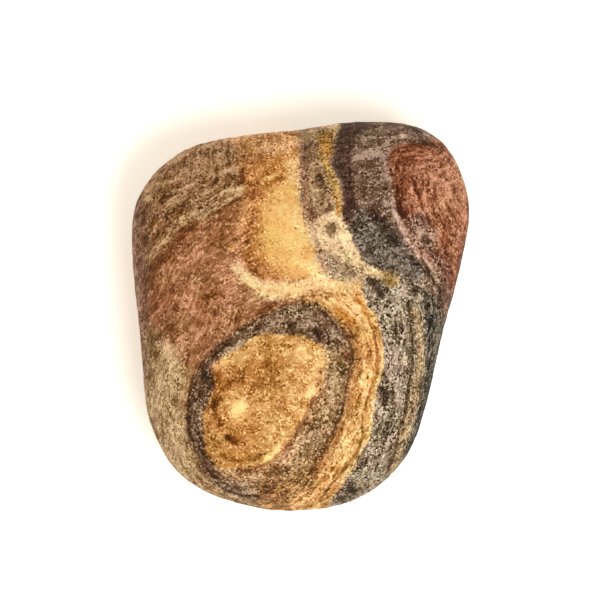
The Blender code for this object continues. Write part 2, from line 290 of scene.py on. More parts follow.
# Lighter and darker marks in the beds: strength, half width, and the line that each follows.
MARKS = (
    # the taupe bed
    (0.22, 0.5, ((-19.0, 19.9), (-17.5, 20.2), (-17.3, 17.7))),
    (0.18, 0.6, ((-15.2, 21.7), (-14.8, 22.2))),
    (0.24, 0.4, ((-10.5, 17.4), (-9.4, 18.1), (-8.6, 18.6))),
    (-0.20, 0.4, ((-10.6, 15.6), (-9.1, 16.8), (-7.8, 17.8))),
    (-0.20, 0.4, ((-8.0, 23.5), (-6.9, 24.1))),
    (-0.16, 0.4, ((-12.6, 18.7), (-11.2, 18.7))),
    # a painted highlight along the left edge
    (0.18, 0.4, ((-24.6, 16.5), (-24.8, 11.3), (-24.3, 5.4), (-23.7, -2.1))),
    (0.28, 0.5, ((-22.2, 8.9), (-20.7, 10.3), (-19.6, 11.6), (-18.4, 13.1), (-16.9, 14.4), (-15.4, 15.3))),
    (0.42, 0.6, ((-14.8, 14.3), (-13.6, 15.0), (-12.3, 15.8))),
    (-0.32, 0.6, (
        (-22.4, 5.4), (-22.1, 6.8), (-21.0, 8.3), (-19.6, 9.7), (-18.1, 11.2), (-16.6, 12.6),
        (-15.4, 13.8),
    )),
    (-0.20, 0.3, ((-16.3, 13.5), (-14.2, 14.4), (-12.4, 15.5), (-10.6, 16.5), (-9.1, 17.7))),
    (-0.34, 0.7, ((-20.3, 18.1), (-19.3, 19.0), (-18.2, 19.8))),
    (0.14, 0.3, ((-22.7, 13.7), (-21.9, 15.2), (-21.0, 16.4))),
    (-0.22, 0.5, ((-22.2, 12.8), (-21.5, 15.2), (-19.7, 17.3))),
    (-0.24, 0.7, ((-21.6, 11.9), (-20.4, 13.4), (-19.3, 15.0))),
    (0.24, 0.4, ((-19.3, 17.0), (-18.1, 18.0), (-16.7, 19.2), (-15.7, 20.1))),
    (-0.20, 0.4, ((-18.2, 14.6), (-17.2, 16.7), (-15.8, 18.0))),
    (-0.32, 0.4, ((-14.8, 20.5), (-14.4, 20.7))),
    (0.22, 0.3, ((-12.7, 21.0), (-11.2, 21.3), (-9.9, 21.9), (-8.8, 22.8))),
    (-0.22, 0.3, ((-12.7, 21.6), (-11.2, 22.2), (-9.4, 23.2))),
    (-0.18, 0.3, ((-12.6, 20.2), (-10.9, 20.5), (-9.1, 20.2), (-8.4, 19.5))),
    (0.34, 0.4, ((-11.5, 18.4), (-10.0, 18.6), (-8.4, 19.0))),
    (-0.30, 0.4, ((-10.2, 16.4), (-9.3, 17.3))),
    (-0.28, 0.4, ((-8.6, 21.9), (-8.4, 20.7), (-7.8, 19.6), (-6.9, 19.0))),
    (0.14, 0.7, ((-15.4, 21.7), (-13.9, 22.9), (-12.4, 23.8))),
    (-0.18, 0.6, ((-23.4, 16.7), (-23.3, 14.0), (-22.8, 11.3))),
    (-0.14, 0.5, ((-20.7, 20.2), (-19.3, 21.3), (-17.8, 22.0))),
    (0.20, 0.4, ((-11.1, 22.6), (-10.0, 21.3), (-8.7, 22.6))),
    (0.12, 0.9, ((-14.8, 17.8), (-12.7, 19.0))),
    (-0.10, 0.9, ((-13.0, 19.9), (-14.8, 18.7))),
    (-0.16, 0.5, ((-23.1, 5.1), (-22.7, 2.4), (-22.7, -0.3))),
    (0.20, 0.5, ((-23.6, 16.1), (-22.2, 19.2), (-20.0, 21.9), (-17.0, 24.1), (-13.3, 25.4), (-9.7, 26.5))),
    (0.20, 0.4, ((-18.8, 20.2), (-16.3, 19.8))),
    (0.26, 0.5, ((-14.8, 21.3), (-13.9, 21.4))),
    (0.24, 0.4, ((-10.2, 17.1), (-9.3, 17.8), (-8.4, 18.6))),
    (-0.26, 0.5, ((-18.8, 11.9), (-17.2, 12.6))),
    (-0.20, 0.5, ((-21.6, 9.7), (-20.2, 10.4))),
    (-0.24, 0.6, ((-24.0, 9.8), (-23.7, 8.5))),
    # the pink bed
    (0.22, 0.7, ((-8.3, 15.6), (-8.4, 13.7), (-10.0, 13.4))),
    (0.28, 0.7, ((-9.3, 10.6), (-9.0, 8.9), (-8.4, 8.2))),
    (0.20, 0.6, ((-17.6, 5.9), (-17.2, 7.1), (-15.8, 8.2), (-14.9, 8.8))),
    (-0.16, 0.5, ((-13.8, 9.4), (-12.9, 8.8))),
    (0.28, 0.6, ((-12.4, 6.4), (-10.9, 5.9), (-8.4, 5.5))),
    (-0.24, 0.4, ((-12.7, 2.8), (-11.7, 2.7))),
    (-0.16, 0.9, ((-20.7, 3.3), (-20.0, 2.1))),
    (-0.14, 0.7, ((-19.3, 5.1), (-18.1, 3.4), (-16.6, 3.7))),
    (-0.40, 0.5, ((-8.7, 5.8), (-8.0, 4.8))),
    (0.25, 0.5, ((-7.2, 2.2), (-5.6, 2.5), (-3.0, 2.5))),
    (-0.14, 0.6, ((-11.5, 15.2), (-11.5, 12.8), (-11.8, 10.7))),
    (-0.12, 0.6, ((-13.0, 14.6), (-13.9, 12.8))),
    # painted glints: small bright specks of light off quartz grains
    (0.22, 0.4, ((-15.5, 9.8), (-14.4, 10.9))),
    (0.30, 0.3, ((-18.1, 8.6), (-17.9, 8.5))),
    (0.24, 0.4, ((-16.1, 4.6), (-15.4, 3.7))),
    (-0.14, 0.5, ((-17.2, 7.1), (-15.4, 8.0))),
    (-0.28, 0.4, ((-14.5, 2.7), (-13.6, 3.1), (-12.6, 3.6), (-11.5, 3.1))),
    (-0.32, 0.4, ((-13.0, 0.7), (-12.6, 0.7))),
    (-0.26, 0.4, ((-18.5, 1.2), (-18.1, 1.2))),
    (-0.16, 0.4, ((-14.4, 5.9), (-13.0, 5.4))),
    (0.16, 0.6, ((-17.2, 2.7), (-16.3, 0.9))),
    (0.14, 0.9, ((-10.6, 8.9), (-9.6, 7.1))),
    (0.16, 0.7, ((-9.7, 7.7), (-8.6, 6.4), (-7.4, 4.9))),
    (-0.24, 0.4, ((-9.4, -0.7), (-7.7, 0.3), (-6.2, 0.9), (-4.1, 1.2))),
    (-0.22, 0.4, ((-21.9, 7.1), (-20.4, 8.3), (-19.0, 9.5))),
    (-0.24, 0.6, ((-19.6, -0.6), (-19.0, -2.7))),
    (0.20, 0.7, ((-20.7, -4.3), (-19.3, -5.1))),
    (-0.20, 0.6, ((-16.6, -5.2), (-17.0, -7.1))),
    (0.14, 0.6, ((-15.4, -3.6), (-13.6, -2.1))),
    (0.26, 0.5, ((-10.6, 2.5), (-10.0, 1.0))),
    (0.14, 0.6, ((-10.3, 3.6), (-8.8, 2.7))),
    (-0.22, 0.7, ((-21.3, 4.2), (-21.6, 1.2))),
    (0.12, 0.7, ((-19.6, 5.7), (-17.8, 4.8))),
    (0.14, 0.4, ((-12.7, 8.6), (-11.2, 8.0))),
    (-0.12, 0.5, ((-12.7, 7.4), (-11.2, 6.2))),
    (-0.20, 0.4, ((-18.5, 10.1), (-18.4, 8.2))),
    (-0.24, 0.5, ((-13.2, 11.7), (-12.7, 10.6))),
    (-0.24, 0.5, ((-11.1, 9.8), (-10.0, 10.9))),
    (0.26, 0.4, ((-8.8, 1.0), (-6.9, 2.1))),
    (-0.22, 0.4, ((-15.5, 1.9), (-15.2, 0.9))),
    (-0.20, 0.5, ((-1.9, 3.0), (-0.2, 2.8), (1.3, 1.9))),
    (0.24, 0.4, ((-18.2, -1.3), (-17.3, -0.9))),
    (0.14, 0.4, ((-20.7, 6.7), (-18.4, 7.1), (-16.0, 7.1))),
    # the golden lens
    (0.34, 0.5, ((-6.0, 5.2), (-4.4, 4.9), (-2.6, 5.1))),
    (-0.18, 0.5, ((-6.3, 12.5), (-6.2, 10.1))),
    (0.26, 0.6, ((-1.7, 25.0), (-0.5, 25.6))),
    (0.28, 0.6, ((-1.6, 22.3), (-0.4, 22.6))),
    (0.20, 0.4, ((-0.4, 21.1), (-0.2, 18.4))),
    (0.20, 0.4, ((-4.2, 24.2), (-3.9, 24.1))),
    (-0.16, 0.4, ((-5.1, 21.0), (-3.6, 21.1))),
    (-0.16, 0.6, ((-5.0, 26.5), (-3.8, 26.6))),
    (0.26, 0.5, ((0.4, 14.4), (0.7, 11.9))),
    (0.30, 0.7, ((2.8, 8.6), (3.2, 7.1))),
    (-0.38, 0.4, ((-8.1, 8.6), (-7.5, 7.6), (-6.6, 6.8), (-6.2, 5.8), (-5.6, 5.5))),
    (-0.14, 0.6, ((-6.2, 8.0), (-5.0, 7.0), (-3.2, 6.1))),
    (0.22, 0.6, ((-1.0, 23.5), (-0.8, 21.7), (-1.0, 19.9))),
    (0.16, 0.7, ((-0.5, 15.2), (-0.1, 13.4), (0.7, 11.3))),
    (0.36, 0.5, ((0.5, 8.0), (1.3, 7.1), (2.2, 6.4))),
    (-0.36, 0.3, ((-2.2, 27.2), (-1.1, 27.1), (-0.1, 26.8))),
    (-0.30, 0.3, ((-0.4, 25.1), (-0.2, 24.7))),
    (0.22, 0.3, ((-5.6, 19.9), (-4.1, 20.7), (-2.9, 21.4))),
    (-0.24, 0.3, ((-7.7, 18.1), (-6.0, 18.7), (-4.4, 19.6), (-3.0, 20.4))),
    (-0.35, 0.3, ((-3.3, 20.5), (-3.0, 20.5))),
    (-0.12, 0.9, ((-5.0, 23.2), (-3.5, 22.0))),
    (-0.16, 0.7, ((-7.4, 14.3), (-7.7, 11.3), (-7.4, 8.8))),
    (0.24, 0.3, ((-6.3, 9.8), (-6.2, 9.1))),
    (-0.12, 0.5, ((-5.9, 15.2), (-5.1, 11.9))),
    (-0.14, 0.6, ((-7.1, 17.3), (-5.9, 17.8))),
    (-0.20, 0.4, ((-8.3, 25.7), (-7.4, 25.1))),
    (0.20, 0.4, ((-6.6, 24.7), (-5.6, 25.0), (-3.5, 25.3))),
    (0.16, 0.5, ((-4.7, 24.1), (-2.3, 25.0))),
    (-0.10, 0.7, ((-4.4, 11.3), (-3.5, 9.5))),
    (0.16, 0.7, ((-0.8, 18.1), (-0.2, 16.4))),
    (0.18, 0.5, ((-4.7, 22.3), (-3.6, 21.4))),
    (0.07, 1.3, ((-2.3, 15.0), (-1.1, 9.8))),
    # the pale tongue and the grey wedge
    (0.16, 0.5, ((5.7, 9.1), (7.8, 8.3))),
    (0.16, 0.6, ((2.2, 12.2), (2.3, 11.0))),
    (-0.28, 0.5, ((6.2, 6.4), (7.2, 6.7), (8.6, 7.0))),
    (0.20, 0.8, ((6.5, 11.6), (7.5, 10.1), (8.4, 8.6))),
    (0.20, 0.5, ((3.3, 15.0), (4.7, 15.5))),
    (0.14, 0.6, ((3.6, 11.9), (4.8, 10.7))),
    (-0.22, 0.3, ((6.2, 10.0), (6.3, 9.7))),
    (0.12, 0.9, ((1.9, 8.9), (2.8, 5.9))),
    (-0.16, 0.5, ((3.0, 9.2), (4.2, 9.8))),
    (0.30, 0.5, ((9.9, 8.2), (10.6, 7.7))),
    (0.24, 0.7, ((3.9, 23.1), (4.5, 21.6))),
    (0.22, 0.5, ((2.3, 17.4), (1.7, 15.9))),
    (-0.16, 0.5, ((1.4, 22.9), (1.3, 20.5))),
    (-0.20, 0.7, ((0.7, 25.3), (0.7, 23.2))),
    (-0.14, 0.6, ((0.7, 22.0), (0.8, 19.3))),
    (-0.42, 0.5, ((2.9, 20.8), (3.3, 19.2))),
    (-0.28, 0.4, ((1.3, 16.1), (2.0, 14.7))),
    (-0.48, 0.4, ((3.6, 15.2), (4.5, 16.1))),
    (-0.30, 0.4, ((2.9, 27.5), (3.3, 27.4))),
    (0.22, 0.4, ((1.4, 27.5), (2.3, 27.8))),
    (0.18, 0.4, ((2.0, 22.3), (1.7, 19.9), (2.2, 17.8))),
    (-0.14, 0.5, ((3.8, 18.7), (3.6, 17.5))),
    (0.14, 0.4, ((1.3, 17.8), (1.0, 17.0))),
    (0.18, 0.4, ((5.1, 25.1), (5.1, 24.5))),
    (0.16, 0.4, ((5.3, 20.2), (5.6, 17.3))),
    (0.24, 0.4, ((5.6, 19.8), (6.2, 18.1))),
    (-0.24, 0.3, ((5.6, 16.8), (5.6, 16.5))),
    (-0.20, 0.4, ((4.7, 27.1), (5.0, 26.2))),
    (0.24, 0.4, ((5.3, 17.5), (5.9, 16.1))),
    (0.22, 0.4, ((5.3, 14.9), (6.0, 13.4))),
    (0.20, 0.4, ((3.9, 22.0), (5.1, 21.3), (5.7, 19.9))),
    # the dark bed
    (0.26, 0.5, ((12.3, 16.7), (13.6, 15.9), (14.4, 14.3), (15.2, 12.5), (16.3, 11.2))),
    (-0.20, 0.7, ((9.7, 22.0), (10.8, 21.7))),
    (0.20, 0.4, ((9.6, 23.5), (11.1, 23.9))),
    (-0.26, 0.5, ((8.4, 16.1), (9.1, 15.2))),
    (-0.16, 0.4, ((9.0, 24.8), (10.2, 24.8))),
    (-0.16, 0.4, ((14.2, 26.6), (14.8, 25.9))),
    (0.16, 0.4, ((12.4, 22.0), (12.6, 20.4))),
    (-0.18, 0.4, ((6.5, 15.5), (6.6, 14.4))),
    (-0.18, 0.5, ((14.4, 7.1), (15.5, 7.1))),
    (0.16, 0.5, ((16.9, 6.1), (18.7, 5.2))),
    (0.34, 0.7, ((8.4, 23.5), (9.9, 24.2), (11.7, 24.7))),
    (0.28, 0.4, ((12.6, 25.3), (13.8, 26.2), (15.2, 26.9))),
    (0.12, 0.9, ((9.6, 26.2), (11.4, 26.8))),
    (-0.10, 0.7, ((8.7, 27.7), (10.5, 28.6), (12.6, 28.6))),
    (-0.32, 0.7, ((11.2, 15.5), (12.0, 13.7), (13.0, 12.0), (14.1, 10.9))),
    (0.22, 0.5, ((8.7, 13.7), (10.2, 13.7), (11.1, 12.8))),
    # a painted glint of light off a quartz grain
    (0.45, 0.2, ((9.1, 15.3), (9.3, 15.3))),
    (-0.14, 0.6, ((9.6, 16.7), (11.4, 15.5))),
    (0.20, 0.5, ((12.0, 17.8), (13.2, 16.5))),
    (0.14, 0.6, ((9.9, 21.4), (11.4, 19.6))),
    (-0.14, 0.6, ((9.0, 19.6), (9.6, 17.8))),
    (-0.30, 0.4, ((16.1, 8.8), (17.5, 7.7))),
    (0.24, 0.5, ((12.7, 10.1), (14.9, 9.8))),
    (0.12, 0.7, ((10.8, 11.3), (12.3, 8.9), (14.1, 7.7))),
    (0.14, 0.4, ((14.9, 6.8), (16.1, 8.0))),
    (-0.16, 0.4, ((17.9, 27.4), (16.1, 28.0))),
    (0.24, 0.5, ((8.4, 18.9), (9.1, 19.2))),
    (0.22, 0.4, ((12.9, 18.3), (13.3, 17.3))),
    (-0.20, 0.4, ((14.6, 15.6), (15.2, 14.7))),
    (-0.24, 0.4, ((14.1, 25.9), (14.6, 26.5))),
    # the grey flank
    (0.24, 0.6, ((12.9, 3.3), (14.4, 3.9), (14.6, 5.4))),
    (0.22, 0.5, ((15.7, -15.0), (16.0, -16.7))),
    (0.20, 0.4, ((15.5, -18.7), (16.7, -17.1))),
    (0.20, 0.6, ((8.6, -23.2), (9.3, -24.2))),
    # painted shade: a dark line along the right rim's edge
    (-0.26, 0.4, (
        (24.9, 19.3), (25.1, 15.5), (24.5, 11.3), (23.3, 5.4), (22.2, 0.9), (20.6, -6.5), (19.3, -12.5),
    )),
    (-0.32, 0.6, ((10.2, 5.5), (11.1, 4.3), (12.1, 3.1))),
    (-0.22, 0.5, ((10.3, 2.5), (10.8, 1.8))),
    (-0.30, 0.6, ((11.4, 5.2), (12.7, 5.1))),
    (-0.38, 0.5, ((16.7, 4.5), (17.2, 3.4))),
    (-0.32, 0.7, ((14.4, -1.9), (14.4, -3.7))),
    (-0.46, 0.8, ((12.1, -10.7), (12.4, -12.8))),
    (-0.20, 0.4, ((13.8, -11.3), (14.1, -11.9))),
    (-0.30, 0.4, ((13.5, -15.0), (12.9, -16.7), (12.0, -18.1))),
    (-0.26, 0.6, ((9.0, -22.3), (9.7, -21.4))),
    (-0.34, 0.7, ((6.3, -27.2), (7.8, -26.5), (9.1, -25.6))),
    (0.20, 0.5, ((13.0, -6.7), (13.9, -6.1), (15.2, -4.8))),
    (0.14, 0.7, ((14.6, 3.0), (14.4, 0.6))),
    (0.18, 0.5, ((15.2, -5.4), (15.5, -7.4))),
    (0.16, 0.6, ((14.9, -9.5), (14.4, -11.7))),
    (0.12, 0.7, ((12.0, -14.3), (12.6, -15.5))),
    (-0.40, 0.4, ((17.9, -9.5), (17.8, -11.3))),
    (-0.28, 0.4, ((18.1, -13.2), (17.5, -15.5))),
    (-0.20, 0.4, ((16.6, -18.4), (15.7, -19.9))),
    (0.16, 0.4, ((20.6, -0.9), (20.3, -3.6), (19.7, -5.4))),
    (0.16, 0.5, ((16.9, 0.0), (16.7, 1.8))),
    (-0.16, 0.5, ((19.0, 1.2), (19.3, -2.4))),
    (-0.16, 0.6, ((11.4, -8.3), (12.0, -9.2))),
    (0.12, 0.6, ((12.3, -0.3), (13.2, -2.7))),
    (0.20, 0.4, ((9.4, -19.3), (9.9, -19.0))),
    (0.22, 0.5, ((11.4, 0.7), (12.6, 0.7))),
    (0.18, 0.4, ((17.9, -4.3), (18.1, -6.5), (18.5, -8.0))),
    (0.24, 0.4, ((14.1, -12.3), (15.2, -12.3))),
    (0.24, 0.4, ((11.8, -23.1), (12.3, -23.8))),
    (-0.30, 0.5, ((6.5, -25.6), (7.4, -25.3))),
    (0.24, 0.4, ((9.3, 4.5), (9.7, 3.9))),
    (0.20, 0.4, ((16.7, -17.8), (17.0, -17.0))),
    (0.24, 0.4, ((12.1, -1.9), (12.6, -3.3))),
    # the rust lobe
    (0.24, 0.7, ((22.1, 21.0), (23.0, 20.2), (21.9, 18.6))),
    (-0.22, 0.5, ((20.9, 14.3), (21.6, 12.2))),
    (0.20, 0.5, ((14.6, 22.3), (15.4, 21.3))),
    (-0.20, 0.4, ((14.9, 15.5), (15.5, 14.6))),
    (0.18, 0.5, ((21.9, 9.8), (23.0, 9.2))),
    (0.14, 0.6, ((19.9, 11.3), (20.0, 10.3))),
    (0.22, 0.4, ((18.7, 8.3), (19.4, 6.8))),
    (0.18, 0.6, ((19.7, 4.6), (19.9, 3.9))),
    (-0.24, 0.4, ((21.0, 5.9), (21.3, 4.9))),
    (-0.26, 0.9, ((14.4, 22.9), (14.5, 19.5), (14.8, 16.1))),
    (-0.12, 0.4, ((15.7, 21.4), (15.5, 18.7))),
    (-0.26, 0.6, ((14.8, 15.9), (15.7, 15.0))),
    (-0.24, 0.3, ((16.7, 20.2), (17.3, 18.0), (18.1, 16.1), (19.3, 14.0))),
    (-0.24, 0.3, ((18.4, 19.0), (19.4, 17.3), (20.0, 15.5), (20.3, 13.8))),
    (0.24, 0.5, ((19.0, 21.7), (21.0, 20.1), (21.8, 18.9), (21.5, 17.3))),
    (-0.36, 0.4, ((18.4, 11.6), (19.0, 10.4), (19.4, 9.5))),
    (0.24, 0.5, ((19.6, 20.5), (20.9, 19.6), (21.8, 18.6))),
    (0.20, 0.4, ((19.1, 18.7), (18.7, 17.0))),
    (0.20, 0.5, ((19.1, 12.2), (20.3, 12.9))),
    (0.20, 0.4, ((16.3, 19.3), (16.6, 18.1))),
    (-0.30, 0.4, ((16.1, 25.6), (17.9, 25.7), (19.7, 25.3), (21.0, 24.8))),
    (0.22, 0.5, ((14.4, 26.5), (15.8, 26.8))),
    (0.20, 0.7, ((23.0, 22.9), (24.0, 19.0), (24.0, 14.6))),
    (-0.20, 0.4, ((20.9, 11.6), (21.8, 8.0), (22.2, 4.5))),
    (0.14, 0.3, ((22.7, 11.3), (23.1, 8.0))),
    (-0.14, 0.3, ((23.7, 12.0), (23.6, 8.0))),
    (0.12, 0.9, ((19.4, 23.5), (17.9, 22.0))),
    (-0.12, 0.6, ((21.5, 16.4), (21.8, 14.0))),
    (0.12, 0.4, ((20.9, 17.3), (21.2, 15.2))),
    (-0.34, 0.5, ((13.8, 23.9), (14.5, 24.4), (15.8, 24.4), (16.9, 24.8), (18.5, 25.1))),
    (-0.14, 0.4, ((15.5, 23.5), (17.3, 24.1))),
    (0.26, 0.5, ((17.2, 11.0), (17.5, 12.3))),
    (0.24, 0.4, ((19.4, 17.5), (19.3, 16.4), (18.5, 15.3))),
    (-0.20, 0.4, ((15.8, 19.3), (15.8, 17.4))),
    (-0.20, 0.5, ((23.6, 15.0), (23.9, 14.0))),
    # the ring
    (-0.20, 0.6, ((-11.2, -1.3), (-12.9, -2.7), (-13.6, -4.5))),
    (-0.18, 0.5, ((-6.3, -0.9), (-4.7, -0.1), (-3.3, 0.6))),
    (-0.28, 0.5, ((-14.5, -19.5), (-13.8, -21.0))),
    (0.22, 0.4, ((-16.0, -16.7), (-15.7, -18.4), (-15.1, -19.9))),
    (-0.18, 0.4, ((-16.4, -21.0), (-15.5, -22.9))),
    (0.24, 0.7, ((3.6, -4.9), (4.2, -3.3))),
    (-0.30, 0.6, ((-1.4, -1.0), (-1.0, -2.5))),
    (-0.38, 0.6, ((2.2, -2.2), (2.8, -3.4))),
    (-0.14, 0.4, ((6.5, -1.5), (6.5, -2.4))),
    (-0.34, 0.3, ((3.9, -3.9), (4.8, -3.6), (5.6, -3.7))),
    (-0.20, 0.4, ((-6.2, 0.6), (-4.1, 1.5), (-1.7, 1.9), (0.7, 2.1), (2.2, 1.6))),
    (-0.26, 0.7, ((-14.8, -7.3), (-14.2, -9.2), (-13.9, -10.7))),
    (-0.30, 0.3, (
        (-16.0, -9.8), (-16.4, -12.5), (-16.6, -14.7), (-16.3, -17.5), (-15.4, -19.9), (-13.9, -22.6),
        (-12.3, -24.5),
    )),
    (-0.26, 0.2, ((-13.6, -22.9), (-12.1, -24.4), (-10.3, -25.4), (-8.3, -25.7))),
    (-0.26, 0.2, ((-11.5, -25.9), (-9.4, -26.5), (-7.4, -26.8), (-5.6, -27.1))),
    (0.16, 0.2, ((-13.0, -24.1), (-11.2, -25.4), (-8.8, -26.3), (-6.5, -26.5))),
    (0.20, 0.3, ((-11.8, -23.8), (-10.6, -23.5))),
    (0.14, 0.7, ((0.1, 0.6), (1.6, -0.6))),
    (0.14, 0.7, ((-4.4, -0.6), (-2.9, -0.3))),
    (0.26, 0.4, ((-8.8, -4.0), (-10.3, -5.1), (-11.5, -5.9))),
    (-0.10, 0.9, ((-15.2, -11.3), (-15.5, -15.5), (-14.5, -19.3))),
    (-0.22, 0.5, ((-7.7, -1.5), (-9.7, -2.5), (-11.5, -4.2), (-13.2, -6.2))),
    (-0.14, 0.6, ((-13.0, -22.6), (-11.5, -24.1))),
    (0.10, 0.6, ((4.5, -2.1), (5.4, -3.3))),
    (0.14, 0.4, ((-3.5, -2.7), (-2.0, -2.7))),
    (-0.16, 0.4, ((-6.2, -2.1), (-4.8, -1.6))),
    (0.24, 0.5, ((0.7, -1.5), (1.9, -1.5))),
    (-0.22, 0.6, ((3.0, 0.6), (4.8, -0.6))),
    (-0.20, 0.5, ((-17.2, -10.4), (-15.7, -9.2))),
    (-0.22, 0.4, ((-14.8, -22.6), (-14.1, -24.1))),
    (0.26, 0.4, ((-12.0, -24.4), (-10.8, -25.1))),
    (0.22, 0.4, ((-10.3, -22.9), (-10.0, -23.6))),
    (-0.18, 0.5, ((0.7, -15.5), (1.9, -16.1), (2.8, -14.9))),
    (0.24, 0.6, ((-1.3, -23.8), (-0.8, -25.3))),
    (-0.18, 0.7, ((-4.5, -25.3), (-2.9, -24.7))),
    (0.22, 0.4, ((-6.9, -23.8), (-5.6, -23.6))),
    (-0.18, 0.4, ((-8.8, -23.2), (-7.7, -22.9))),
    (0.26, 0.7, ((5.1, -8.9), (4.8, -10.7))),
    (-0.30, 0.3, ((3.0, -11.6), (3.9, -12.8))),
    (-0.28, 0.6, ((0.1, -15.5), (1.6, -16.1))),
    (0.28, 0.4, ((2.2, -18.6), (2.9, -17.0))),
    (-0.25, 0.4, ((4.5, -18.1), (3.9, -19.9))),
    (0.20, 0.6, ((3.9, -13.7), (3.6, -14.6))),
    (0.12, 0.7, ((0.4, -18.1), (-0.2, -20.5))),
    (-0.38, 0.4, ((-5.0, -23.2), (-3.5, -22.9), (-1.9, -23.2))),
    (-0.20, 0.6, ((-5.3, -25.9), (-4.1, -26.2))),
    (-0.16, 0.2, ((-4.1, -27.4), (-2.0, -25.9), (0.1, -24.1), (1.9, -22.3))),
    (0.18, 0.2, ((-2.9, -27.4), (-0.8, -25.6), (1.0, -23.8))),
    (-0.20, 0.4, ((0.1, -24.7), (1.9, -22.9), (3.3, -21.0))),
    (0.12, 0.5, ((1.9, -19.3), (0.7, -21.7))),
    (0.16, 0.4, ((-8.8, -25.3), (-6.8, -25.0))),
    (-0.34, 0.2, ((5.7, -7.9), (6.2, -7.4), (6.6, -7.9), (6.2, -8.3), (5.7, -7.9))),
    (0.22, 0.4, ((3.9, -10.3), (4.7, -13.5))),
    (-0.26, 0.4, ((3.3, -16.2), (3.8, -16.8))),
    (-0.24, 0.4, ((1.3, -25.1), (2.8, -23.9))),
    (-0.24, 0.4, ((6.0, -4.8), (6.3, -6.1))),
    # the eye
    (0.16, 1.6, ((-0.1, -4.8), (0.8, -8.0), (0.1, -11.3))),
    (0.30, 0.6, ((3.2, -8.9), (2.5, -11.6))),
    (0.16, 0.6, ((-9.3, -6.8), (-7.1, -5.9))),
    (0.20, 0.7, ((-5.3, -17.4), (-3.8, -16.1), (-2.2, -15.5))),
    (0.18, 0.6, ((-12.9, -18.9), (-10.6, -19.2))),
    (-0.28, 0.5, ((-10.2, -17.5), (-9.3, -18.4))),
    (0.12, 0.4, ((-6.9, -22.0), (-5.4, -21.7))),
    (-0.14, 0.6, ((-4.7, -9.1), (-2.9, -9.7), (-2.6, -11.3))),
    (0.40, 0.9, ((-9.4, -14.0), (-8.6, -13.2))),
    (0.24, 0.4, ((-8.4, -12.0), (-8.4, -13.7))),
    (-0.30, 0.7, ((-12.1, -8.9), (-12.3, -11.0), (-12.6, -13.1))),
    (-0.34, 0.4, ((-12.6, -12.6), (-12.4, -14.3), (-11.8, -16.1))),
    (-0.58, 0.4, ((-10.8, -18.0), (-9.6, -18.7))),
    (-0.18, 0.7, ((-8.6, -17.1), (-6.5, -16.7))),
    (-0.34, 0.6, ((-11.2, -10.6), (-10.0, -9.7), (-8.7, -9.4))),
    (-0.20, 0.7, ((-5.6, -7.4), (-4.2, -7.0), (-3.3, -8.0))),
    (-0.22, 0.5, ((-12.7, -8.3), (-12.9, -10.1))),
    (-0.28, 0.3, ((-11.8, -20.5), (-9.4, -21.3), (-7.1, -21.3), (-5.4, -20.5))),
    (0.60, 0.5, ((1.7, -10.6), (1.3, -12.0))),
    (0.50, 0.6, ((1.1, -14.3), (-0.1, -15.3))),
    (0.24, 0.6, ((-1.6, -16.8), (-2.8, -18.6))),
    (0.50, 0.6, ((-3.2, -19.5), (-3.6, -20.7), (-4.7, -21.0))),
    (0.24, 0.6, ((2.5, -5.1), (2.9, -7.4))),
    (0.24, 0.6, ((-12.3, -7.4), (-11.1, -6.7))),
    (0.16, 0.6, ((-0.1, -4.8), (1.1, -6.1))),
    (-0.12, 0.5, ((-4.7, -4.3), (-1.4, -4.6))),
    (0.18, 0.4, ((-7.4, -3.6), (-5.9, -3.3))),
    (-0.18, 0.4, ((-7.1, -10.1), (-5.3, -10.7))),
    (-0.16, 0.7, ((-11.2, -19.3), (-12.7, -18.4))),
    (0.14, 0.7, ((-2.3, -10.1), (-1.4, -11.9))),
    (-0.26, 0.4, ((-7.5, -7.1), (-7.2, -8.3))),
    (0.22, 0.5, ((-6.0, -13.7), (-4.7, -13.5))),
    (0.22, 0.4, ((-9.9, -11.5), (-9.1, -11.6))),
    (-0.22, 0.5, ((-12.0, -12.2), (-10.8, -12.2))),
    (0.22, 0.4, ((-1.9, -5.7), (-1.6, -6.2))),
    (0.18, 0.4, ((-7.2, -4.3), (-5.7, -4.9))),
    (0.12, 0.6, ((-2.6, -7.6), (-0.5, -8.3))),
    # the gold band
    (0.24, 0.6, ((9.3, -1.8), (9.6, -4.8))),
    (0.18, 0.7, ((6.0, 2.7), (7.5, 1.3))),
    (0.18, 0.7, ((6.9, -0.3), (8.4, 0.9))),
    (0.24, 0.6, ((4.7, -18.4), (5.1, -20.1), (4.2, -21.6))),
    (0.22, 0.6, ((2.9, -22.5), (1.7, -23.8))),
    (0.20, 0.5, ((6.8, -13.1), (6.8, -14.4))),
    (-0.20, 0.6, ((5.7, -23.2), (6.8, -22.3))),
    (-0.18, 0.5, ((1.0, -25.9), (2.8, -25.1), (4.4, -24.1))),
    (0.28, 0.5, ((9.6, -7.4), (9.9, -8.3))),
    (0.26, 0.4, ((9.0, -9.8), (9.6, -10.3))),
    (-0.16, 0.6, ((9.3, -11.6), (8.6, -13.1))),
    (0.24, 0.7, ((7.8, -16.7), (6.9, -18.7))),
    (-0.14, 0.2, ((8.8, -1.5), (9.0, -4.3), (9.0, -7.1), (8.4, -9.2))),
    (-0.22, 0.2, ((9.7, -4.2), (10.3, -6.2), (10.9, -8.0))),
    (0.28, 0.3, ((12.1, -3.9), (12.3, -5.9), (12.0, -8.0))),
    (0.28, 0.3, ((11.1, -12.2), (10.6, -14.3), (10.3, -17.0))),
    (-0.24, 0.2, ((6.6, -20.2), (5.1, -22.3), (3.3, -24.4), (1.6, -26.2))),
    (0.18, 0.3, ((7.5, -19.6), (5.7, -22.0), (3.6, -24.4), (1.9, -26.8))),
    (-0.16, 0.3, ((3.6, -21.7), (2.2, -23.5), (0.7, -25.0), (-1.1, -26.5))),
    (0.14, 0.4, ((3.9, -22.9), (2.2, -24.7), (0.1, -26.2))),
